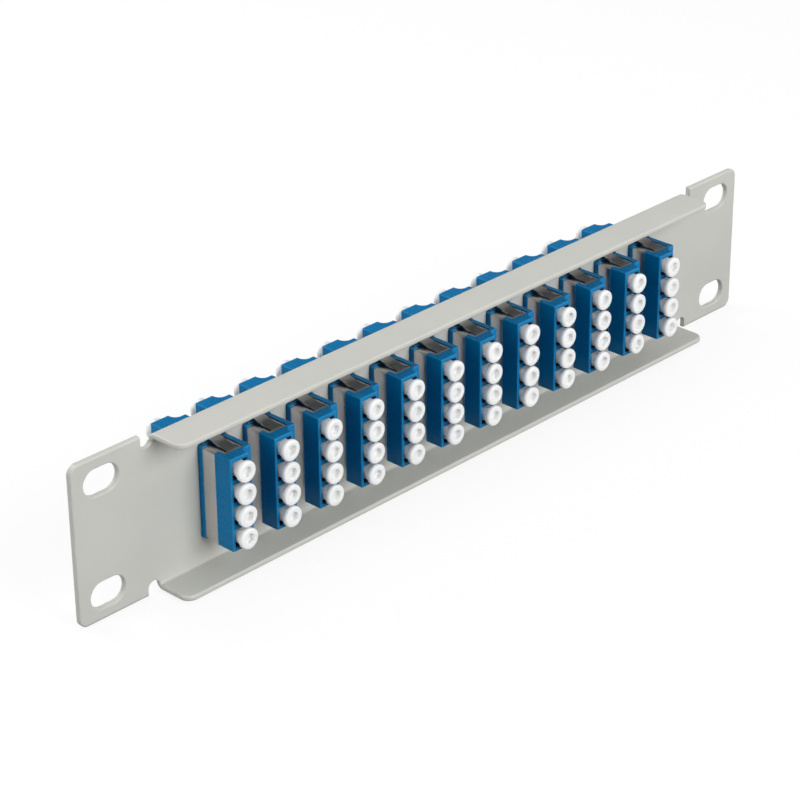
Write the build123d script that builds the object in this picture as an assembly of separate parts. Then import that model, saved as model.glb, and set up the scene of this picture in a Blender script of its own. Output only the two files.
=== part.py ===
from build123d import *
import os

# Fibre patch panel for a 10-inch rack: a folded steel panel that carries a row of four-port
# couplers, each held by a spring clip and closed at both ends by dust caps.
# X runs along the panel, Z is up, +Y is the front of the rack and -Y the rear.
# The origin is the centre of the four rack slots, on the rear face of the sheet.
# All lengths are in millimetres.

# Sheet and folds
sheet = 1.5
bend_inside = 0.8
panel_height = 44.4
flange_step = 0.4
flange_reach = 10.4
flange_corner = 3.0
flange_edge = 0.5
row_margin = 14.425

# Ears, rack slots and the relief notches beside the folds
ear_width = 21.8
ear_corner = 2.5
ear_edge = 0.5
slot_length = 10.8
slot_width = 7.2
slot_edge_x = 9.25
slot_edge_z = 6.75
relief_width = 3.7
relief_beyond_bend = 1.1

# Coupler row
coupler_count = 12
collar_gap = 3.85
cutout_side_gap = 0.1
cutout_end_gap = 0.2
cutout_corner = 0.4

# Coupler housing
port_count = 4
port_size = 4.7
port_web = 1.55
side_wall = 0.9
end_wall = 1.175
latch_depth = 2.7
latch_wall = 1.1
latch_slot = 2.8
catch_start = 4.6
catch_length = 3.8
rear_reach = 11.65
front_reach = 16.0
mouth_lip = 0.35
scoop_depth = 2.6
scoop_straight = 0.6
bulkhead = 2.0
lead_in = 0.25
housing_edge = 0.25
collar_thick = 1.6
collar_side = 0.9
collar_end = 1.1
collar_edge = 0.4

# Spring clip: a band down one side of the housing and a plate with a raised tongue at each end
clip_thick = 0.35
clip_play = 0.04
clip_sink = 0.6
clip_bend = 0.45
band_start = 1.7
band_width = 4.2
plate_start = 0.5
plate_front_reach = 8.2
plate_left_rail = 1.5
plate_right_rail = 1.6
tongue_width = 3.5
tongue_slit = 0.4
tongue_root = 7.3
tongue_tip_gap = 0.25
tongue_rise = 1.45

# Sleeve holder and split ceramic sleeve
holder_bore = 1.7
holder_wall = 0.6
holder_half_length = 3.9
holder_lip = 0.15
holder_lip_length = 0.35
holder_rim = 0.6
holder_rim_thick = 0.9
holder_play = 0.02
sleeve_bore = 1.25
sleeve_play = 0.04
sleeve_end_play = 0.15
sleeve_slit = 0.3

# Dust cap
cap_play = 0.15
cap_bead_play = 0.04
cap_bead_length = 0.8
cap_bead_ramp = 0.25
cap_bead_setback = 1.2
cap_stem_in = 6.5
cap_tip_chamfer = 0.5
cap_neck = 0.7
cap_shoulder = 0.75
cap_head_gap = 0.55
cap_head_thick = 1.25
cap_head_round = 0.45
cap_recess = 2.9
cap_recess_depth = 3.0

# Working allowances: how far a cut runs past its body, and how near an edge counts as found
overrun = 1.0
pick = 0.01

# Sizes that follow from the ones above
port_pitch = port_size + port_web
housing_height = (port_count - 1) * port_pitch + port_size + 2 * end_wall
housing_width = side_wall + port_size + latch_depth + latch_wall
mouth_width = side_wall + port_size + mouth_lip
port_x = side_wall + port_size / 2
scoop_radius = scoop_depth - scoop_straight
cutout_width = housing_width + 2 * cutout_side_gap
cutout_height = housing_height + 2 * cutout_end_gap
coupler_pitch = housing_width + 2 * collar_side + collar_gap
row_length = (coupler_count - 1) * coupler_pitch + cutout_width
flange_length = row_length + 2 * row_margin
panel_width = flange_length + 2 * (relief_width + ear_width)
slot_spacing_x = panel_width - 2 * slot_edge_x
slot_spacing_z = panel_height - 2 * slot_edge_z
flange_outer = panel_height / 2 - flange_step
bend_outside = bend_inside + sheet
flat_half = flange_outer - bend_outside
relief_floor = flat_half - relief_beyond_bend
rear_mouth = -rear_reach
front_mouth = sheet + front_reach
housing_middle = (rear_mouth + front_mouth) / 2
bulkhead_rear = housing_middle - bulkhead / 2
bulkhead_front = housing_middle + bulkhead / 2
holder_outer = holder_bore + 2 * holder_wall
sleeve_outer = holder_bore - 2 * sleeve_play
sleeve_length = 2 * (holder_half_length - holder_lip_length - sleeve_end_play)
cap_stem = port_size - 2 * cap_play
cap_bead = port_size - 2 * cap_bead_play
cap_head = port_pitch - cap_head_gap
plate_reach = housing_width - plate_right_rail
plate_top = housing_height / 2 - clip_sink + clip_thick


def block(x_low, x_high, y_low, y_high, z_low, z_high):
    """A box between two corners."""
    size = (x_high - x_low, y_high - y_low, z_high - z_low)
    centre = ((x_low + x_high) / 2, (y_low + y_high) / 2, (z_low + z_high) / 2)
    return Pos(*centre) * Box(*size)


def port_heights():
    """Height of each port's axis, from the top port down."""
    top = (port_count - 1) / 2 * port_pitch
    return [top - index * port_pitch for index in range(port_count)]


def coupler_places():
    """X of each housing's left face, from the left end of the panel."""
    first = -(coupler_count - 1) / 2 * coupler_pitch - housing_width / 2
    return [first + index * coupler_pitch for index in range(coupler_count)]


def sheet_cut(outline):
    """A flat outline, drawn in X and Z, taken right through the sheet."""
    return extrude(Plane.XZ * outline, amount=sheet + overrun, both=True)


def flat_sheet():
    """The web and both ears, flat, with the rack slots and the open relief notches."""
    blank = Rectangle(panel_width, panel_height)
    blank = fillet(blank.vertices(), ear_corner)
    plate = extrude(Plane.XZ * blank, amount=-sheet)
    fold_strip = panel_height / 2 - flat_half
    strip = Rectangle(flange_length + relief_width, 2 * fold_strip)
    notch = SlotOverall(2 * (panel_height / 2 - relief_floor), relief_width, rotation=90)
    notch_x = (flange_length + relief_width) / 2
    for side in (-1, 1):
        plate -= sheet_cut(Pos(0, side * panel_height / 2) * strip)
        for end in (-1, 1):
            plate -= sheet_cut(Pos(end * notch_x, side * panel_height / 2) * notch)
    slot = SlotOverall(slot_length, slot_width)
    for end in (-1, 1):
        for side in (-1, 1):
            place = Pos(end * slot_spacing_x / 2, side * slot_spacing_z / 2)
            plate -= sheet_cut(place * slot)
    return fillet([edge for edge in plate.edges() if on_ear_rim(edge)], ear_edge)


def on_ear_rim(edge):
    """Whether an edge of the flat sheet borders an ear or a rack slot on the rear face."""
    place = edge.center()
    return abs(place.Y) < pick and abs(place.X) > flange_length / 2 + relief_width + pick


def folded_channel():
    """The middle stretch: the web with a flange folded to the rear at its top and bottom."""
    outer = Pos((sheet - flange_reach) / 2, 0) * Rectangle(sheet + flange_reach, 2 * flange_outer)
    outer = fillet(outer.vertices().sort_by(Axis.X)[-2:], bend_outside)
    inner_height = 2 * (flange_outer - sheet)
    inner = Pos(-flange_reach, 0) * Rectangle(2 * flange_reach, inner_height)
    inner = fillet(inner.vertices().sort_by(Axis.X)[-2:], bend_inside)
    section = Plane.YZ * (outer - inner)
    channel = extrude(section, amount=flange_length / 2, both=True)
    corners = channel.edges().filter_by(Axis.Z).filter_by_position(
        Axis.Y, -flange_reach - sheet / 2, -flange_reach + sheet / 2
    )
    channel = fillet(corners, flange_corner)
    rim = channel.edges().filter_by(Axis.X).filter_by_position(
        Axis.Y, -flange_reach - sheet / 2, -flange_reach + sheet / 2
    )
    return fillet(rim, flange_edge)


def panel():
    """The folded panel with its coupler cut-outs."""
    body = flat_sheet() + folded_channel()
    cutout = RectangleRounded(cutout_width, cutout_height, cutout_corner)
    for left in coupler_places():
        body -= sheet_cut(Pos(left + housing_width / 2, 0) * cutout)
    return body


def housing_outline():
    """Plan of the housing, with the latch side scooped back at both mouths."""
    arc_x = mouth_width + scoop_radius
    points = [
        (0, rear_mouth),
        (mouth_width, rear_mouth),
        (mouth_width, rear_mouth + scoop_straight),
        (arc_x, rear_mouth + scoop_depth),
        (housing_width, rear_mouth + scoop_depth),
        (housing_width, front_mouth - scoop_depth),
        (arc_x, front_mouth - scoop_depth),
        (mouth_width, front_mouth - scoop_straight),
        (mouth_width, front_mouth),
        (0, front_mouth),
    ]
    edges = [Line(points[0], points[1]), Line(points[1], points[2])]
    edges += [RadiusArc(points[2], points[3], scoop_radius), Line(points[3], points[4])]
    edges += [Line(points[4], points[5]), Line(points[5], points[6])]
    edges += [RadiusArc(points[6], points[7], scoop_radius), Line(points[7], points[8])]
    edges += [Line(points[8], points[9]), Line(points[9], points[0])]
    return make_face(edges)


def port_cut(mouth, inward):
    """One port at height zero: its square well, lead-in, latch slot and catch pocket.

    inward is +1 where the port runs towards +Y from its mouth, and -1 the other way.
    """
    depth = abs(housing_middle - mouth) - bulkhead / 2
    low, high = sorted((mouth, mouth + inward * depth))
    left = port_x - port_size / 2
    right = port_x + port_size / 2
    half = port_size / 2
    well = block(left, right, low, high, -half, half)
    roof = right + latch_depth
    well += block(left, roof, low, high, -latch_slot / 2, latch_slot / 2)
    catch_low, catch_high = sorted((catch_start, catch_start + catch_length))
    low, high = sorted((mouth + inward * catch_low, mouth + inward * catch_high))
    well += block(left, roof, low, high, -half, half)
    wide = port_size + 2 * lead_in
    face = Plane(origin=(port_x, mouth, 0), x_dir=(1, 0, 0), z_dir=(0, inward, 0))
    funnel = extrude(face * Rectangle(wide, wide), amount=lead_in, taper=45)
    return well + funnel


def clip_seat(top):
    """The recess that the clip's plate and band lie in, at the top or the bottom end."""
    low, high = sorted((top * (housing_height / 2 - clip_sink), top * housing_height))
    rear_edge = -plate_front_reach - clip_play
    seat = block(plate_left_rail, plate_reach + clip_play, rear_edge, -plate_start + clip_play, low, high)
    band_rear = -band_start - band_width - clip_play
    seat += block(-overrun, plate_left_rail, band_rear, -band_start + clip_play, low, high)
    return seat


def coupler_housing():
    """The moulded housing: four ports at each end, a collar and the seat of the clip."""
    body = extrude(housing_outline(), amount=housing_height / 2, both=True)
    body = fillet(body.edges(), housing_edge)
    collar_width = housing_width + 2 * collar_side
    collar_height = housing_height + 2 * collar_end
    collar_plan = RectangleRounded(collar_width, collar_height, collar_edge)
    collar = extrude(Plane.XZ * collar_plan, amount=-collar_thick)
    body += Pos(housing_width / 2, sheet, 0) * collar
    rear_port = port_cut(rear_mouth, 1)
    front_port = port_cut(front_mouth, -1)
    bore = Rot(90, 0, 0) * Cylinder(holder_outer / 2 + holder_play, 2 * bulkhead)
    for height in port_heights():
        body -= Pos(0, 0, height) * rear_port
        body -= Pos(0, 0, height) * front_port
        body -= Pos(port_x, housing_middle, height) * bore
    band_low = -band_start - band_width - clip_play
    band_depth = clip_thick + clip_play
    band_high = -band_start + clip_play
    body -= block(-overrun, band_depth, band_low, band_high, -housing_height, housing_height)
    return body - clip_seat(1) - clip_seat(-1)


def clip_end():
    """The clip's top plate with its slit and tongue, the band's upper half included."""
    plate_bottom = plate_top - clip_thick
    slit_half = tongue_width / 2 + tongue_slit
    middle = housing_width / 2
    plate = block(
        plate_left_rail + clip_play, plate_reach, -plate_front_reach, -plate_start, plate_bottom, plate_top
    )
    plate -= block(
        middle - slit_half,
        middle + slit_half,
        -tongue_root,
        0,
        plate_bottom - overrun,
        plate_top + overrun,
    )
    tip = -tongue_tip_gap
    side_view = Polyline(
        (-tongue_root - clip_thick, plate_bottom),
        (-tongue_root, plate_bottom),
        (tip, plate_bottom + tongue_rise),
        (tip, plate_top + tongue_rise),
        (-tongue_root, plate_top),
        (-tongue_root - clip_thick, plate_top),
        close=True,
    )
    tongue = extrude(Plane.YZ * make_face(side_view), amount=tongue_width / 2, both=True)
    return plate + Pos(middle, 0, 0) * tongue


def spring_clip():
    """The stamped clip: one band down the left side, with a plate folded over each end."""
    outer = Rectangle(2 * (middle_of_slit_left() - clip_play), 2 * plate_top)
    outer = fillet(outer.vertices(), clip_bend)
    inner_half = middle_of_slit_left() - clip_play - clip_thick
    inner = Rectangle(2 * inner_half, 2 * (plate_top - clip_thick))
    ring = extrude(Plane.XZ * (outer - inner), amount=band_width)
    ring = Pos(middle_of_slit_left(), -band_start, 0) * ring
    keep = block(0, middle_of_slit_left(), -rear_reach, 0, -housing_height, housing_height)
    end = clip_end()
    return (ring & keep) + end + mirror(end, about=Plane.XY)


def middle_of_slit_left():
    """X of the tongue opening's left side."""
    return housing_width / 2 - tongue_width / 2 - tongue_slit


def sleeve_holder():
    """The turned holder of one sleeve, along Y, with its rim on the bulkhead's front face."""
    tube = Cylinder(holder_outer / 2, 2 * holder_half_length)
    rim_place = bulkhead / 2 + holder_rim_thick / 2
    tube += Pos(0, 0, -rim_place) * Cylinder(holder_outer / 2 + holder_rim, holder_rim_thick)
    tube -= Cylinder(holder_bore / 2, 2 * (holder_half_length - holder_lip_length))
    tube -= Cylinder(holder_bore / 2 - holder_lip, 2 * holder_half_length + overrun)
    return Rot(90, 0, 0) * tube


def alignment_sleeve():
    """The split ceramic sleeve that lines up two ferrules, along Y."""
    tube = Cylinder(sleeve_outer / 2, sleeve_length)
    tube -= Cylinder(sleeve_bore / 2, sleeve_length + overrun)
    tube -= Pos(sleeve_outer / 2, 0, 0) * Box(sleeve_outer, sleeve_slit, sleeve_length + overrun)
    return Rot(90, 0, 0) * tube


def dust_cap():
    """One dust cap, turned about -Y, with the port's mouth at the origin."""
    stem = cap_stem / 2
    bead_end = -cap_bead_setback
    bead_start = bead_end - cap_bead_length
    tip = -cap_stem_in
    back = cap_neck + cap_shoulder
    face = back + cap_head_thick
    floor = face - cap_recess_depth
    outline = Polyline(
        (0, tip),
        (stem - cap_tip_chamfer, tip),
        (stem, tip + cap_tip_chamfer),
        (stem, bead_start),
        (cap_bead / 2, bead_start + cap_bead_ramp),
        (cap_bead / 2, bead_end - cap_bead_ramp),
        (stem, bead_end),
        (stem, cap_neck),
        (cap_head / 2, back),
        (cap_head / 2, face),
        (cap_recess / 2, face),
        (cap_recess / 2, floor),
        (0, floor),
        close=True,
    )
    half = make_face(outline)
    rim = half.vertices().filter_by_position(Axis.Y, back - pick, face + pick).sort_by(Axis.X)[-2:]
    half = fillet(rim, cap_head_round)
    cap = revolve(Plane.XZ * half, axis=Axis.Z, revolution_arc=360)
    return Rot(90, 0, 0) * cap


def cap_set(mouth, outward):
    """The caps of one end of a housing, pushed into its ports."""
    cap = dust_cap()
    if outward > 0:
        cap = Rot(0, 0, 180) * cap
    return [Pos(port_x, mouth, height) * cap for height in port_heights()]


def along_row(piece):
    """Copies of a piece, one at each coupler's port axis."""
    return [Pos(left + port_x, housing_middle, 0) * piece for left in coupler_places()]


def write(name, shape):
    """Write one node, either one solid or a group of separate solids."""
    if isinstance(shape, list):
        shape = Compound(children=shape)
    export_step(shape, f"parts/{name}.step")


def main():
    """Write every node of the patch panel."""
    os.makedirs("parts", exist_ok=True)
    write("panel", panel())
    housing = coupler_housing()
    clip = spring_clip()
    rear_caps = cap_set(rear_mouth, -1)
    front_caps = cap_set(front_mouth, 1)
    for number, left in enumerate(coupler_places(), start=1):
        place = Pos(left, 0, 0)
        write(f"coupler_housing_{number:02d}", place * housing)
        write(f"spring_clip_{number:02d}", place * clip)
        write(f"rear_dust_caps_{number:02d}", [place * cap for cap in rear_caps])
        write(f"front_dust_caps_{number:02d}", [place * cap for cap in front_caps])
    for number, height in enumerate(port_heights(), start=1):
        row = Pos(0, 0, height)
        write(f"sleeve_holders_row_{number}", [row * piece for piece in along_row(sleeve_holder())])
        write(f"alignment_sleeves_row_{number}", [row * piece for piece in along_row(alignment_sleeve())])


main()
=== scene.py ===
"""Dresses the fibre patch panel, lights it and frames it."""
import logging
import math
from dataclasses import dataclass, field
from enum import Enum
from typing import Any, Optional, Sequence, Union

import bpy
from mathutils import Matrix, Vector


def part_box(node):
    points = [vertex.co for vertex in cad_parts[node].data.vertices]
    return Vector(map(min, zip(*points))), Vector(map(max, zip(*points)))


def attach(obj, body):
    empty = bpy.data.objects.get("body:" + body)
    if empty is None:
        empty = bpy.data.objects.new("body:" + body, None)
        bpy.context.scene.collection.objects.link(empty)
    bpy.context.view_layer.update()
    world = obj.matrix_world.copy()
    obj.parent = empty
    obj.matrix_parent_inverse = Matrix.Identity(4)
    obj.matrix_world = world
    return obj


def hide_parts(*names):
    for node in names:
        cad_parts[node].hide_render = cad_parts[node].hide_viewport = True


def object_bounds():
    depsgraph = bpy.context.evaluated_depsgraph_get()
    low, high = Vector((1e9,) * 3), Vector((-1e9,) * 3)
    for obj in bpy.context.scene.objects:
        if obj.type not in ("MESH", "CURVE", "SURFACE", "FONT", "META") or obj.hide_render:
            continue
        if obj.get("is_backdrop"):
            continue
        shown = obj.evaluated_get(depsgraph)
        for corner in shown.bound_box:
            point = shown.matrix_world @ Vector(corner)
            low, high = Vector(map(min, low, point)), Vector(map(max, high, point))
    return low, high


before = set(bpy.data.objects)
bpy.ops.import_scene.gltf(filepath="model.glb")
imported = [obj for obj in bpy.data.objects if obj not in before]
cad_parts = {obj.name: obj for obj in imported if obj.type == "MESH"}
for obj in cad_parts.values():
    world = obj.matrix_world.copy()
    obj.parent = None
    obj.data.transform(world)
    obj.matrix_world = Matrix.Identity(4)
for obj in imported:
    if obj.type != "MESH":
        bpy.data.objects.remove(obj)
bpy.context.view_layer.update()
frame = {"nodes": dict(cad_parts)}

MM = 0.001
COUPLERS = 12
PORTS = 4

# A screen's levels against linear light: straight near black, a power curve above it
SCREEN_TOP = 255
STRAIGHT_BELOW = 0.04045
STRAIGHT_SLOPE = 12.92
CURVE_SHIFT = 0.055
CURVE_POWER = 2.4

Colour = tuple[float, float, float]
Span = tuple[float, float]
Ring = tuple[float, float]
Value = Union[float, Sequence[float], "Signal"]

WHITE: Colour = (1.0, 1.0, 1.0)

log = logging.getLogger("patch_panel")


class Slot(Enum):
    """The finishes that the record names."""

    PANEL = "powder_coated_steel"
    HOUSING = "blue_housing"
    CLIP = "spring_steel"
    CAP = "white_cap"
    HOLDER = "holder_plastic"
    SLEEVE = "sleeve_ceramic"


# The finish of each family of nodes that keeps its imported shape
FAMILIES = {
    "panel": Slot.PANEL,
    "coupler_housing": Slot.HOUSING,
    "spring_clip": Slot.CLIP,
    "sleeve_holders": Slot.HOLDER,
    "alignment_sleeves": Slot.SLEEVE,
}


class End(Enum):
    """The two ends of a coupler, as the names of nodes and bodies have them."""

    REAR = "rear"
    FRONT = "front"


def screen_colour(red: int, green: int, blue: int) -> Colour:
    """Turn a colour as a screen shows it into linear light.

    Args:
        red: Red, from 0 to 255.
        green: Green, from 0 to 255.
        blue: Blue, from 0 to 255.

    Returns:
        The three linear values.
    """
    linear = []
    for level in (red, green, blue):
        part = level / SCREEN_TOP
        if part <= STRAIGHT_BELOW:
            linear.append(part / STRAIGHT_SLOPE)
        else:
            linear.append(((part + CURVE_SHIFT) / (1 + CURVE_SHIFT)) ** CURVE_POWER)
    return tuple(linear)


def direction(azimuth: float, elevation: float) -> Vector:
    """Turn two angles into a direction away from the panel.

    Args:
        azimuth: Degrees to the right of straight behind the panel.
        elevation: Degrees above level.

    Returns:
        The direction, one unit long.
    """
    turn, lift = math.radians(azimuth), math.radians(elevation)
    level = math.cos(lift)
    return Vector((math.sin(turn) * level, -math.cos(turn) * level, math.sin(lift)))


@dataclass(frozen=True)
class Pattern:
    """A noise pattern: features in a metre, levels of finer noise, and scale of each axis."""

    scale: float
    detail: float = 2.0
    stretch: Sequence[float] = (1, 1, 1)


@dataclass(frozen=True)
class EdgeHighlight:
    """A sharp edge: the round that its normal is turned over, and a painted highlight along it: its
    colour and how much of it.
    """

    round: float
    colour: Colour = WHITE
    share: float = 0.0


@dataclass(frozen=True)
class GapShade:
    """Painted shade in a narrow gap: its colour, how much of it, and how wide the gap may be."""

    colour: Colour
    share: float
    reach: float
    openness: Span = (0.35, 0.9)


class Signal:
    """One node socket that can be written in an expression."""

    def __init__(self, graph: "Graph", socket: bpy.types.NodeSocket) -> None:
        """Keep the socket and the graph that it belongs to."""
        self.graph = graph
        self.socket = socket

    def sibling(self, name: str) -> "Signal":
        """Another output of the same node."""
        return Signal(self.graph, self.socket.node.outputs[name])

    def larger(self, other: Value) -> "Signal":
        """The larger of the two."""
        return self._maths("MAXIMUM", self, other)

    def _maths(self, operation: str, first: Value, second: Value) -> "Signal":
        """Add a Math node.

        Args:
            operation: The node's operation.
            first: The first value.
            second: The second value.

        Returns:
            The node's result.
        """
        return self.graph.node("ShaderNodeMath", {"operation": operation}, {0: first, 1: second})

    def __add__(self, other: Value) -> "Signal":
        """Sum."""
        return self._maths("ADD", self, other)

    def __radd__(self, other: Value) -> "Signal":
        """Sum with a number on the left."""
        return self._maths("ADD", other, self)

    def __sub__(self, other: Value) -> "Signal":
        """Difference."""
        return self._maths("SUBTRACT", self, other)

    def __rsub__(self, other: Value) -> "Signal":
        """Difference from a number on the left."""
        return self._maths("SUBTRACT", other, self)

    def __mul__(self, other: Value) -> "Signal":
        """Product."""
        return self._maths("MULTIPLY", self, other)

    def __rmul__(self, other: Value) -> "Signal":
        """Product with a number on the left."""
        return self._maths("MULTIPLY", other, self)


class Graph:
    """A node tree under construction, for a material or for the surroundings."""

    def __init__(self, tree: bpy.types.NodeTree, output: str) -> None:
        """Empty the tree and give it an output node of that type."""
        self.tree = tree
        self.tree.nodes.clear()
        self.output = self.tree.nodes.new(output)

    def node(
        self, kind: str, settings: dict[str, Any], inputs: dict[Any, Value], out: Any = 0
    ) -> Signal:
        """Add one node.

        Args:
            kind: The node's type.
            settings: Its own settings, set before its sockets.
            inputs: Values or links, by socket name or number.
            out: The name or number of the output that is wanted.

        Returns:
            That output.
        """
        made = self.tree.nodes.new(kind)
        for key, value in settings.items():
            setattr(made, key, value)
        for key, value in inputs.items():
            self.feed(made.inputs[key], value)
        return Signal(self, made.outputs[out])

    def feed(self, socket: bpy.types.NodeSocket, value: Value) -> None:
        """Link a signal into a socket, or set its value.

        Args:
            socket: The socket to feed.
            value: A signal, a number or a colour.
        """
        if isinstance(value, Signal):
            self.tree.links.new(value.socket, socket)
        elif isinstance(value, (int, float)):
            socket.default_value = value
        else:
            socket.default_value = (*value, 1.0)[:len(socket.default_value)]

    def finish(self, shader: Signal) -> None:
        """Link the last shader to the output."""
        self.feed(self.output.inputs["Surface"], shader)

    def ramp(
        self, value: Signal, span: Span, result: Span = (0.0, 1.0), curve: str = "LINEAR"
    ) -> Signal:
        """Map a range of a signal to another range, held at both ends.

        Args:
            value: The signal.
            span: Its values at the two ends.
            result: The results at the two ends.
            curve: How the result goes from one end to the other.

        Returns:
            The mapped signal.
        """
        settings = {"clamp": True, "interpolation_type": curve}
        return self.node("ShaderNodeMapRange", settings, {
            "Value": value, "From Min": span[0], "From Max": span[1],
            "To Min": result[0], "To Max": result[1],
        })


class Shader(Graph):
    """One material under construction."""

    edge_span: Span = (0.995, 0.93)
    noise_span: Span = (0.3, 0.7)

    def __init__(self, name: str) -> None:
        """Start an empty material of that name."""
        self.material = bpy.data.materials.new(name)
        self.material.use_nodes = True
        super().__init__(self.material.node_tree, "ShaderNodeOutputMaterial")

    def place(self) -> Signal:
        """The point on the piece, in metres."""
        return self.node("ShaderNodeTexCoord", {}, {}, "Object")

    def noise(self, pattern: Pattern) -> Signal:
        """Add a noise pattern.

        Args:
            pattern: The pattern.

        Returns:
            The noise, about 0.5.
        """
        mapped = self.node(
            "ShaderNodeMapping", {}, {"Vector": self.place(), "Scale": pattern.stretch}
        )
        return self.node("ShaderNodeTexNoise", {}, {
            "Vector": mapped, "Scale": pattern.scale, "Detail": pattern.detail,
        })

    def varied(self, noise: Signal, result: Span) -> Signal:
        """Spread a noise over a range of results."""
        return self.ramp(noise, self.noise_span, result)

    def blend(self, share: Value, first: Value, second: Value) -> Signal:
        """Mix two colours.

        Args:
            share: How much of the second one shows.
            first: The first colour.
            second: The second colour.

        Returns:
            The mixed colour.
        """
        inputs = {0: share, 6: first, 7: second}
        return self.node("ShaderNodeMix", {"data_type": "RGBA"}, inputs, 2)

    def hollow(self, gap_shade: GapShade) -> Signal:
        """Find where a surface lies deep in a gap, for painting shade there.

        Args:
            gap_shade: The painted shade, with its gap's width and openness.

        Returns:
            1 deep in a gap, 0 on a free surface.
        """
        inputs = {"Distance": gap_shade.reach}
        open_share = self.node("ShaderNodeAmbientOcclusion", {"samples": 8}, inputs, "AO")
        return 1.0 - self.ramp(open_share, gap_shade.openness)

    def soft_edge(self, radius: float) -> Signal:
        """The normal, turned over a small round at every sharp edge."""
        return self.node("ShaderNodeBevel", {"samples": 6}, {"Radius": radius})

    def edge(self, smooth: Signal) -> Signal:
        """Find the sharp edges.

        Args:
            smooth: The normal that is turned over the edges.

        Returns:
            1 on an edge, 0 on a flat surface.
        """
        flat = self.node("ShaderNodeNewGeometry", {}, {}, "Normal")
        settings = {"operation": "DOT_PRODUCT"}
        same = self.node("ShaderNodeVectorMath", settings, {0: smooth, 1: flat}, "Value")
        return self.ramp(same, self.edge_span)

    def with_painted_light(self, clean: Signal, smooth: Signal, highlight: EdgeHighlight, gap_shade: Optional[GapShade]) -> Signal:
        """Paint a highlight along the edges and shade into the gaps.

        Args:
            clean: The piece's own colour.
            smooth: The normal that is turned over the edges.
            highlight: The painted highlight along the edges.
            gap_shade: The painted shade in the gaps, if any.

        Returns:
            The colour with the painted highlight and shade.
        """
        # Painted highlight along the sharp edges
        highlighted = self.blend(self.edge(smooth) * highlight.share, clean, highlight.colour)
        if gap_shade is None:
            return highlighted
        # Painted shade in the narrow gaps
        return self.blend(self.hollow(gap_shade) * gap_shade.share, highlighted, gap_shade.colour)

    def bump(self, height: Value, depth: float, strength: float, under: Signal) -> Signal:
        """Turn a height into a normal.

        Args:
            height: The height, from 0 to 1.
            depth: How far 1 stands up, in metres.
            strength: How much of it shows.
            under: The normal that the bumps stand on.

        Returns:
            The bumped normal.
        """
        inputs = {"Height": height, "Distance": depth, "Strength": strength, "Normal": under}
        return self.node("ShaderNodeBump", {}, inputs)

    def surface(self, **inputs: Value) -> bpy.types.Material:
        """Finish with one Principled shader.

        Args:
            **inputs: Its sockets, with _ for each space in a name.

        Returns:
            The finished material.
        """
        named = {key.replace("_", " "): value for key, value in inputs.items()}
        self.finish(self.node("ShaderNodeBsdfPrincipled", {}, named))
        return self.material


@dataclass(frozen=True)
class PowderCoat:
    """Light grey powder coat: a fine orange-peel skin over steel, with a painted highlight along
    its edges and painted shade in narrow gaps.
    """

    colour: Colour = screen_colour(199, 199, 192)
    cool: Colour = screen_colour(193, 194, 188)
    # Painted highlight along the sheet's edges
    coat_highlight: EdgeHighlight = EdgeHighlight(round=0.2 * MM, colour=screen_colour(218, 219, 214), share=0.5)
    # Painted shade in gaps up to about 1.2 mm wide
    gap_shade: GapShade = GapShade(colour=screen_colour(70, 72, 70), share=0.75, reach=1.2 * MM)
    cloud: Pattern = Pattern(45.0, detail=3.0)
    peel: Pattern = Pattern(1400.0, detail=1.5)
    grain: Pattern = Pattern(5200.0, detail=1.0)
    cloud_share: float = 0.6
    cloud_span: Span = (0.38, 0.62)
    peel_share: float = 0.75
    peel_depth: float = 0.02 * MM
    peel_strength: float = 0.5
    roughness: Span = (0.37, 0.48)
    specular: float = 0.45

    def material(self) -> bpy.types.Material:
        """Build the coat's material."""
        shader = Shader("powder_coat")
        peel, grain = shader.noise(self.peel), shader.noise(self.grain)
        mottle = shader.noise(self.cloud) * self.cloud_share + grain * (1 - self.cloud_share)
        skin = peel * self.peel_share + grain * (1 - self.peel_share)
        smooth = shader.soft_edge(self.coat_highlight.round)
        coat = shader.blend(shader.ramp(mottle, self.cloud_span), self.colour, self.cool)
        return shader.surface(
            Base_Color=shader.with_painted_light(coat, smooth, self.coat_highlight, self.gap_shade),
            Roughness=shader.varied(grain, self.roughness),
            Specular_IOR_Level=self.specular,
            Normal=shader.bump(skin, self.peel_depth, self.peel_strength, smooth),
        )


@dataclass(frozen=True)
class MouldedPlastic:
    """A moulded plastic with a faint flow pattern and a fine spark-eroded skin."""

    name: str
    colour: Colour
    deep: Colour
    roughness: Span
    skin: Pattern = Pattern(3800.0)
    skin_depth: float = 0.008 * MM
    skin_strength: float = 0.6
    flow: Pattern = Pattern(160.0, stretch=(1.0, 0.35, 1.0))
    flow_span: Span = (0.35, 0.65)
    specular: float = 0.4
    tint: Colour = WHITE
    # Round of the edges' normal, and a painted highlight along them where its share is above 0
    plastic_highlight: EdgeHighlight = EdgeHighlight(round=0.12 * MM)
    # Painted shade in narrow gaps, if any
    gap_shade: Optional[GapShade] = None
    subsurface: float = 0.0
    spread: float = 1.0 * MM
    spread_by_colour: Colour = (1.0, 0.95, 0.9)

    def material(self) -> bpy.types.Material:
        """Build the plastic's material."""
        shader = Shader(self.name)
        skin = shader.noise(self.skin)
        smooth = shader.soft_edge(self.plastic_highlight.round)
        flow = shader.ramp(shader.noise(self.flow), self.flow_span)
        plain = shader.blend(flow, self.colour, self.deep)
        return shader.surface(
            Base_Color=shader.with_painted_light(plain, smooth, self.plastic_highlight, self.gap_shade),
            Roughness=shader.varied(skin, self.roughness),
            Specular_IOR_Level=self.specular,
            Specular_Tint=self.tint,
            Subsurface_Weight=self.subsurface,
            Subsurface_Radius=self.spread_by_colour,
            Subsurface_Scale=self.spread,
            Normal=shader.bump(skin, self.skin_depth, self.skin_strength, smooth),
        )


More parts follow.
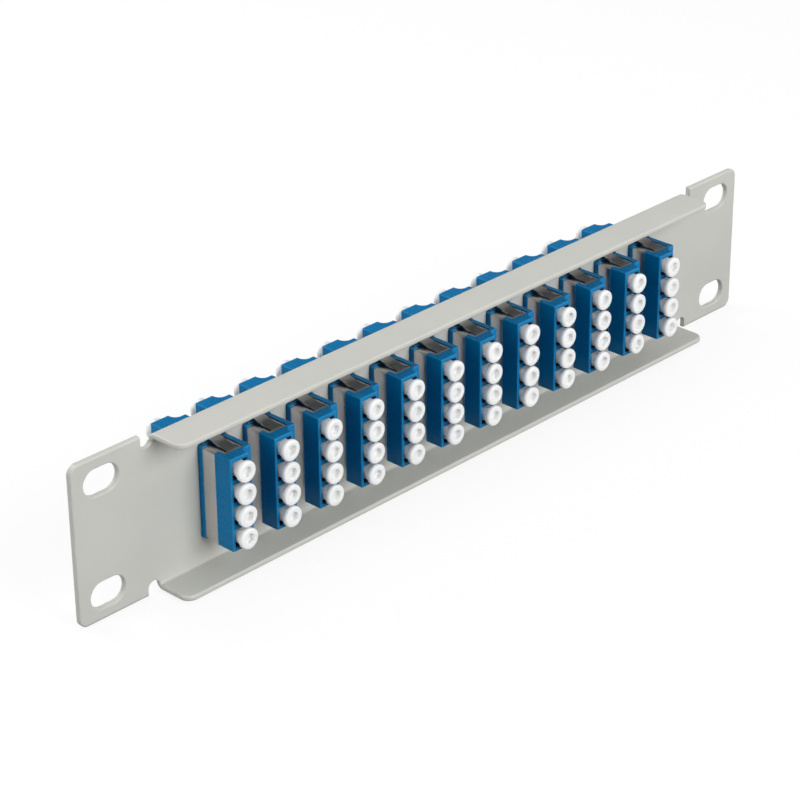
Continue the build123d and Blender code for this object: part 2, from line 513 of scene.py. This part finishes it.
@dataclass(frozen=True)
class SpringSteel:
    """Rolled spring steel, with fine rolling lines along the strip, a painted highlight along its
    edges and painted shade in its slits and gaps.
    """

    colour: Colour = screen_colour(216, 211, 211)
    dull: Colour = screen_colour(196, 192, 191)
    # Painted highlight along the steel's edges
    steel_highlight: EdgeHighlight = EdgeHighlight(round=0.08 * MM, colour=screen_colour(245, 243, 242), share=0.6)
    # Painted shade in the slits beside the tongue and other narrow gaps
    gap_shade: GapShade = GapShade(colour=screen_colour(38, 38, 40), share=0.9, reach=0.6 * MM)
    lines: Pattern = Pattern(900.0, detail=3.0, stretch=(0.12, 6.0, 0.12))
    cloud: Pattern = Pattern(220.0)
    line_share: float = 0.7
    dull_span: Span = (0.35, 0.65)
    line_depth: float = 0.002 * MM
    line_strength: float = 0.5
    roughness: Span = (0.12, 0.24)

    def material(self) -> bpy.types.Material:
        """Build the steel's material."""
        shader = Shader("spring_steel")
        lines, cloud = shader.noise(self.lines), shader.noise(self.cloud)
        worn = lines * self.line_share + cloud * (1 - self.line_share)
        smooth = shader.soft_edge(self.steel_highlight.round)
        rolled = shader.blend(shader.ramp(worn, self.dull_span), self.colour, self.dull)
        return shader.surface(
            Base_Color=shader.with_painted_light(rolled, smooth, self.steel_highlight, self.gap_shade),
            Metallic=1.0,
            Roughness=shader.varied(cloud, self.roughness),
            Normal=shader.bump(lines, self.line_depth, self.line_strength, smooth),
        )


@dataclass(frozen=True)
class Ceramic:
    """Ground white ceramic."""

    colour: Colour = screen_colour(236, 234, 228)
    ground: Colour = screen_colour(226, 223, 216)
    grind: Pattern = Pattern(2500.0, stretch=(4.0, 0.2, 4.0))
    grind_depth: float = 0.003 * MM
    grind_strength: float = 0.5
    edge_round: float = 0.04 * MM
    roughness: Span = (0.18, 0.28)

    def material(self) -> bpy.types.Material:
        """Build the ceramic's material."""
        shader = Shader("sleeve_ceramic")
        grind = shader.noise(self.grind)
        smooth = shader.soft_edge(self.edge_round)
        return shader.surface(
            Base_Color=shader.blend(grind, self.colour, self.ground),
            Roughness=shader.varied(grind, self.roughness),
            Normal=shader.bump(grind, self.grind_depth, self.grind_strength, smooth),
        )


@dataclass(frozen=True)
class Finishes:
    """Every material of the panel, built once."""

    made: dict[Slot, bpy.types.Material] = field(default_factory=dict)
    port_gap: float = 3.5 * MM
    port_openness: Span = (0.15, 0.75)

    def build(self) -> "Finishes":
        """Build every material.

        Returns:
            These finishes, with their materials made.
        """
        self.made[Slot.PANEL] = PowderCoat().material()
        self.made[Slot.HOUSING] = self.blue_housing().material()
        self.made[Slot.CLIP] = SpringSteel().material()
        self.made[Slot.CAP] = self.white_cap().material()
        self.made[Slot.HOLDER] = self.holder_plastic().material()
        self.made[Slot.SLEEVE] = Ceramic().material()
        return self

    def blue_housing(self) -> MouldedPlastic:
        """The housings' smooth blue, with a painted highlight along its rounded edges and painted
        shade in the ports and gaps.
        """
        return MouldedPlastic(
            "blue_housing",
            colour=screen_colour(0, 116, 172),
            deep=screen_colour(0, 111, 166),
            roughness=(0.26, 0.28),
            skin_depth=0.0005 * MM,
            specular=0.25,
            tint=(0.3, 0.75, 1.0),
            # Painted highlight along the rounded edges
            plastic_highlight=EdgeHighlight(round=0.5 * MM, colour=screen_colour(70, 165, 220), share=0.8),
            # Painted shade in the ports, under the clips' tongues and in the gaps between parts
            gap_shade=GapShade(screen_colour(0, 36, 66), 0.8, self.port_gap, self.port_openness),
        )

    def white_cap(self) -> MouldedPlastic:
        """The dust caps' soft white, which lets some light through, with painted shade in their
        recesses and in the gaps between them.
        """
        return MouldedPlastic(
            "white_cap",
            colour=screen_colour(249, 249, 248),
            deep=screen_colour(246, 246, 245),
            roughness=(0.37, 0.47),
            skin=Pattern(2600.0),
            skin_depth=0.003 * MM,
            # Painted shade in the caps' recesses and the gaps between caps
            gap_shade=GapShade(screen_colour(226, 226, 224), 0.35, self.port_gap, self.port_openness),
            subsurface=0.6,
            spread=2.0 * MM,
        )

    def holder_plastic(self) -> MouldedPlastic:
        """The sleeve holders' natural plastic."""
        return MouldedPlastic(
            "holder_plastic",
            colour=screen_colour(226, 226, 222),
            deep=screen_colour(219, 219, 214),
            roughness=(0.45, 0.55),
        )

    def dress(self, piece: bpy.types.Object, slot: Slot) -> None:
        """Give a piece one material all over.

        Args:
            piece: The object to dress.
            slot: Its finish.
        """
        piece.data.materials.clear()
        piece.data.materials.append(self.made[slot])


class Bench:
    """The few hand moves that every modelled piece needs."""

    @staticmethod
    def clear_selection() -> None:
        """Leave edit mode and select nothing."""
        if bpy.context.object and bpy.context.object.mode != "OBJECT":
            bpy.ops.object.mode_set(mode="OBJECT")
        bpy.ops.object.select_all(action="DESELECT")

    @staticmethod
    def settle(piece: bpy.types.Object) -> None:
        """Put the piece's place, turn and scale into its mesh.

        Args:
            piece: The piece, which is left selected alone.
        """
        Bench.clear_selection()
        piece.select_set(True)
        bpy.context.view_layer.objects.active = piece
        bpy.ops.object.transform_apply(location=True, rotation=True, scale=True)

    @staticmethod
    def copy(piece: bpy.types.Object, name: str, *moves: Matrix) -> bpy.types.Object:
        """Copy a piece with a mesh of its own.

        Args:
            piece: The piece to copy.
            name: The copy's name.
            *moves: The turns and moves of its mesh, the first one first.

        Returns:
            The copy, with its place in its mesh.
        """
        twin = piece.copy()
        twin.data = piece.data.copy()
        twin.name = name
        twin.data.name = name
        bpy.context.scene.collection.objects.link(twin)
        for move in moves:
            twin.data.transform(move)
        return twin

    @staticmethod
    def join(pieces: list[bpy.types.Object], name: str) -> bpy.types.Object:
        """Join pieces into the first one.

        Args:
            pieces: The pieces to join.
            name: The joined piece's name.

        Returns:
            The joined piece.
        """
        Bench.clear_selection()
        for piece in pieces:
            piece.select_set(True)
        bpy.context.view_layer.objects.active = pieces[0]
        bpy.ops.object.join()
        joined = bpy.context.object
        joined.name = name
        joined.data.name = name
        return joined


@dataclass
class DustCap:
    """One turned dust cap, its places measured outwards from the port's mouth."""

    stem_radius: float = 2.2 * MM
    stem_in: float = 6.5 * MM
    tip_chamfer: float = 0.5 * MM
    bead_radius: float = 2.31 * MM
    bead_setback: float = 1.2 * MM
    bead_length: float = 0.8 * MM
    bead_ramp: float = 0.25 * MM
    neck: float = 0.7 * MM
    neck_blend: float = 0.12 * MM
    neck_step: float = 0.09 * MM
    shoulder: float = 0.75 * MM
    shoulder_drop: float = 0.18 * MM
    shoulder_inset: float = 0.19 * MM
    head_radius: float = 2.85 * MM
    head_thick: float = 1.25 * MM
    head_round: float = 0.5 * MM
    rim_inset: float = 0.06 * MM
    rim_length: float = 0.2 * MM
    recess_radius: float = 1.4 * MM
    recess_round: float = 0.15 * MM
    recess_depth: float = 1.5 * MM
    floor_round: float = 0.3 * MM
    floor_inset: float = 0.5
    segments: int = 40
    head_steps: int = 6
    recess_steps: int = 4
    smooth_below: float = 35.0

    @property
    def reach(self) -> float:
        """How far the cap stands out of the port's mouth."""
        return self.neck + self.shoulder + self.head_thick

    def rings(self) -> list[Ring]:
        """Work out the cap's rings.

        Returns:
            Place along the axis and radius of each ring, from the tip outwards and into the recess.
        """
        face = self.reach
        back = face - self.head_thick
        bead_front = -self.bead_setback
        bead_back = bead_front - self.bead_length
        floor = face - self.recess_depth
        return [
            (-self.stem_in, self.stem_radius - self.tip_chamfer),
            (-self.stem_in + self.tip_chamfer, self.stem_radius),
            (bead_back, self.stem_radius),
            (bead_back + self.bead_ramp, self.bead_radius),
            (bead_front - self.bead_ramp, self.bead_radius),
            (bead_front, self.stem_radius),
            (self.neck - self.neck_blend, self.stem_radius),
            (self.neck + self.neck_blend, self.stem_radius + self.neck_step),
            (back - self.shoulder_drop, self.head_radius - self.shoulder_inset),
            (back, self.head_radius - self.rim_inset),
            (back + self.rim_length, self.head_radius),
            *self.quarter(face - self.head_round, self.head_radius - self.head_round,
                          self.head_round, (0, 90), self.head_steps),
            *self.quarter(face - self.recess_round, self.recess_radius + self.recess_round,
                          self.recess_round, (90, 180), self.recess_steps),
            *self.quarter(floor + self.floor_round, self.recess_radius - self.floor_round,
                          self.floor_round, (0, -90), self.recess_steps),
        ]

    @staticmethod
    def quarter(place: float, radius: float, size: float, sweep: Span, steps: int) -> list[Ring]:
        """Work out the rings of a quarter round.

        Args:
            place: Where the round's centre lies along the axis.
            radius: How far its centre lies from the axis.
            size: The round's own radius.
            sweep: Its first and last angle in degrees, from straight out across the axis.
            steps: How many stretches it has.

        Returns:
            The rings, first and last included.
        """
        start, stop = sweep
        angles = [start + (stop - start) * step / steps for step in range(steps + 1)]
        turns = [math.radians(angle) for angle in angles]
        return [(place + size * math.sin(turn), radius + size * math.cos(turn)) for turn in turns]

    def model(self) -> bpy.types.Object:
        """Draw the cap out ring by ring.

        Returns:
            The cap about -Y, with its port's mouth at the origin.
        """
        (place, radius), *others = self.rings()
        Bench.clear_selection()
        bpy.ops.mesh.primitive_circle_add(
            vertices=self.segments, radius=radius, fill_type="NGON", location=(0, 0, place)
        )
        cap = bpy.context.object
        cap.name = "dust_cap"
        Bench.settle(cap)
        bpy.ops.object.mode_set(mode="EDIT")
        bpy.ops.mesh.select_all(action="SELECT")
        for next_place, next_radius in others:
            bpy.ops.mesh.extrude_region_move(
                TRANSFORM_OT_translate={"value": (0, 0, next_place - place)}
            )
            share = next_radius / radius
            bpy.ops.transform.resize(
                value=(share, share, 1), center_override=(0, 0, next_place)
            )
            place, radius = next_place, next_radius
        bpy.ops.mesh.inset(thickness=radius * self.floor_inset)
        bpy.ops.mesh.select_all(action="SELECT")
        bpy.ops.mesh.normals_make_consistent(inside=False)
        bpy.ops.object.mode_set(mode="OBJECT")
        cap.rotation_euler = (math.radians(90), 0, 0)
        Bench.settle(cap)
        bpy.ops.object.shade_smooth_by_angle(angle=math.radians(self.smooth_below))
        return cap


@dataclass
class DustCaps:
    """All the dust caps, four on each end of each coupler."""

    finishes: Finishes
    cap: DustCap = field(default_factory=DustCap)
    port_pitch: float = 6.25 * MM
    turn_by_port: float = 37.0
    turn_by_coupler: float = 111.0

    def build(self) -> list[bpy.types.Object]:
        """Model one cap and set its copies into every port.

        Returns:
            The sets of caps, one for each end of each coupler.
        """
        pattern = self.cap.model()
        self.finishes.dress(pattern, Slot.CAP)
        numbers = range(1, COUPLERS + 1)
        made = [self.place_set(pattern, end, number) for end in End for number in numbers]
        bpy.data.objects.remove(pattern)
        return made

    def place_set(self, pattern: bpy.types.Object, end: End, number: int) -> bpy.types.Object:
        """Set the caps of one end of one coupler.

        Args:
            pattern: The modelled cap.
            end: The end of the coupler.
            number: The coupler's number, from 1.

        Returns:
            The four caps as one piece.
        """
        node = f"{end.value}_dust_caps_{number:02d}"
        low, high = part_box(node)
        middle = (low + high) / 2
        mouth = low.y + self.cap.reach if end is End.REAR else high.y - self.cap.reach
        facing = Matrix.Rotation(0.0 if end is End.REAR else math.pi, 4, "Z")
        caps = []
        for port in range(PORTS):
            height = middle.z + (port - (PORTS - 1) / 2) * self.port_pitch
            angle = self.turn_by_port * port + self.turn_by_coupler * number
            spin = Matrix.Rotation(math.radians(angle), 4, "Y")
            seat = Matrix.Translation((middle.x, mouth, height)) @ facing
            caps.append(Bench.copy(pattern, f"{node}_{port}", spin, seat))
        joined = Bench.join(caps, f"{end.value}_cap_set_{number:02d}")
        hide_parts(node)
        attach(joined, f"{end.value}_caps_{number:02d}")
        return joined


@dataclass
class FixedPieces:
    """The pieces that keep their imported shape: panel, housings, clips, holders and sleeves."""

    finishes: Finishes
    nodes: dict[str, bpy.types.Object]

    def build(self) -> list[bpy.types.Object]:
        """Dress every one of them.

        Returns:
            The dressed pieces.
        """
        dressed = []
        for name, piece in self.nodes.items():
            for family, slot in FAMILIES.items():
                if name.startswith(family):
                    self.finishes.dress(piece, slot)
                    dressed.append(piece)
        return dressed


@dataclass
class SoftBox:
    """One square soft lamp that looks at the middle of the panel."""

    name: str
    azimuth: float
    elevation: float
    watts: float
    distance: float = 1.0
    size: float = 0.7

    def build(self) -> None:
        """Add the lamp."""
        away = direction(self.azimuth, self.elevation)
        data = bpy.data.lights.new(self.name, "AREA")
        data.shape = "SQUARE"
        data.size = self.size
        data.energy = self.watts
        lamp = bpy.data.objects.new(self.name, data)
        bpy.context.scene.collection.objects.link(lamp)
        lamp.location = away * self.distance
        lamp.rotation_euler = away.to_track_quat("Z", "Y").to_euler()


@dataclass
class Studio:
    """The floor, the surroundings, the lamps and the camera."""

    azimuth: float = -45.99
    elevation: float = 26.895
    roll: float = -0.541
    distance: float = 0.722295
    aim_right: float = -0.01108
    aim_up: float = -0.006278
    focal_pixels: float = 2693.93
    image_pixels: float = 800.0
    sensor: float = 36.0
    nearest: float = 0.01
    farthest: float = 50.0
    horizon: float = 0.22
    overhead: float = 0.12
    sky_heights: Span = (0.3, 0.75)
    floor_size: float = 12.0
    floor_gap: float = 0.05 * MM
    floor_bounce: float = 0.06
    floor_colour: float = 0.8
    floor_glow: float = 0.8
    floor_white: Span = (1.05, 1.25)
    floor_white_from: Span = (0.5, 2.0)
    lamps: Sequence[SoftBox] = (
        SoftBox("front_softbox", azimuth=2, elevation=24, watts=8.8),
        SoftBox("left_softbox", azimuth=-86, elevation=15, watts=3.9),
        SoftBox("top_softbox", azimuth=165, elevation=76, watts=3.0, distance=0.9),
        SoftBox("right_softbox", azimuth=50, elevation=30, watts=1.5),
        SoftBox("back_softbox", azimuth=200, elevation=22, watts=6.0),
    )

    def build(self) -> None:
        """Build the whole studio."""
        self.floor()
        self.surroundings()
        for lamp in self.lamps:
            lamp.build()
        self.camera()
        bpy.context.scene.view_settings.view_transform = "Standard"

    def floor(self) -> None:
        """Lay a pale floor just under the panel, white where the camera sees it."""
        low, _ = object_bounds()
        Bench.clear_selection()
        bpy.ops.mesh.primitive_plane_add(
            size=self.floor_size, location=(0, 0, low.z - self.floor_gap)
        )
        floor = bpy.context.object
        floor.name = "floor"
        shader = Shader("pale_floor")
        camera_ray = shader.node("ShaderNodeLightPath", {}, {}, "Is Camera Ray")
        seen = camera_ray.larger(camera_ray.sibling("Is Glossy Ray"))
        level = shader.ramp(seen, (0.0, 1.0), (self.floor_bounce, self.floor_colour))
        matt = shader.node("ShaderNodeBsdfDiffuse", {}, {"Color": level})
        settings = {"operation": "LENGTH"}
        away = shader.node("ShaderNodeVectorMath", settings, {0: shader.place()}, "Value")
        strength = shader.ramp(away, self.floor_white_from, self.floor_white)
        lit = shader.node("ShaderNodeEmission", {}, {"Color": WHITE, "Strength": strength})
        glow = seen * self.floor_glow
        shader.finish(shader.node("ShaderNodeMixShader", {}, {0: glow, 1: matt, 2: lit}))
        floor.data.materials.append(shader.material)
        floor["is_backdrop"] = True

    def surroundings(self) -> None:
        """Fill the surroundings with plain light, white where the camera sees them."""
        world = bpy.data.worlds.new("surroundings")
        bpy.context.scene.world = world
        world.use_nodes = True
        sky = Graph(world.node_tree, "ShaderNodeOutputWorld")
        towards = sky.node("ShaderNodeTexCoord", {}, {}, "Generated")
        height = sky.node("ShaderNodeSeparateXYZ", {}, {0: towards}, "Z")
        level = sky.ramp(height, self.sky_heights, (self.horizon, self.overhead), "SMOOTHSTEP")
        plain = sky.node("ShaderNodeBackground", {}, {"Color": WHITE, "Strength": level})
        white = sky.node("ShaderNodeBackground", {}, {"Color": WHITE, "Strength": 1.0})
        camera_ray = sky.node("ShaderNodeLightPath", {}, {}, "Is Camera Ray")
        seen = camera_ray.larger(camera_ray.sibling("Is Transmission Ray"))
        sky.finish(sky.node("ShaderNodeMixShader", {}, {0: seen, 1: plain, 2: white}))

    def camera(self) -> None:
        """Set the camera where the photograph was taken from."""
        turn, lean = math.radians(self.azimuth), math.radians(self.roll)
        back = direction(self.azimuth, self.elevation)
        level = Vector((math.cos(turn), math.sin(turn), 0))
        upright = back.cross(level)
        right = math.cos(lean) * level + math.sin(lean) * upright
        above = -math.sin(lean) * level + math.cos(lean) * upright
        place = level * self.aim_right + upright * self.aim_up + back * self.distance
        data = bpy.data.cameras.new("camera")
        data.sensor_width = self.sensor
        data.lens = self.focal_pixels / self.image_pixels * self.sensor
        data.clip_start = self.nearest
        data.clip_end = self.farthest
        camera = bpy.data.objects.new("camera", data)
        bpy.context.scene.collection.objects.link(camera)
        turned = Matrix((right, above, back)).transposed().to_4x4()
        camera.matrix_world = Matrix.Translation(place) @ turned
        bpy.context.scene.camera = camera


def main() -> None:
    """Build the pieces in order and report each one."""
    logging.basicConfig(level=logging.INFO, format="%(name)s: %(message)s")
    finishes = Finishes().build()
    for builder in (FixedPieces(finishes, frame["nodes"]), DustCaps(finishes)):
        for piece in builder.build():
            log.info("%s in %s", piece.name, piece.data.materials[0].name)
    Studio().build()
    log.info("floor, surroundings, lamps and camera set")


if __name__ == "__main__":
    main()
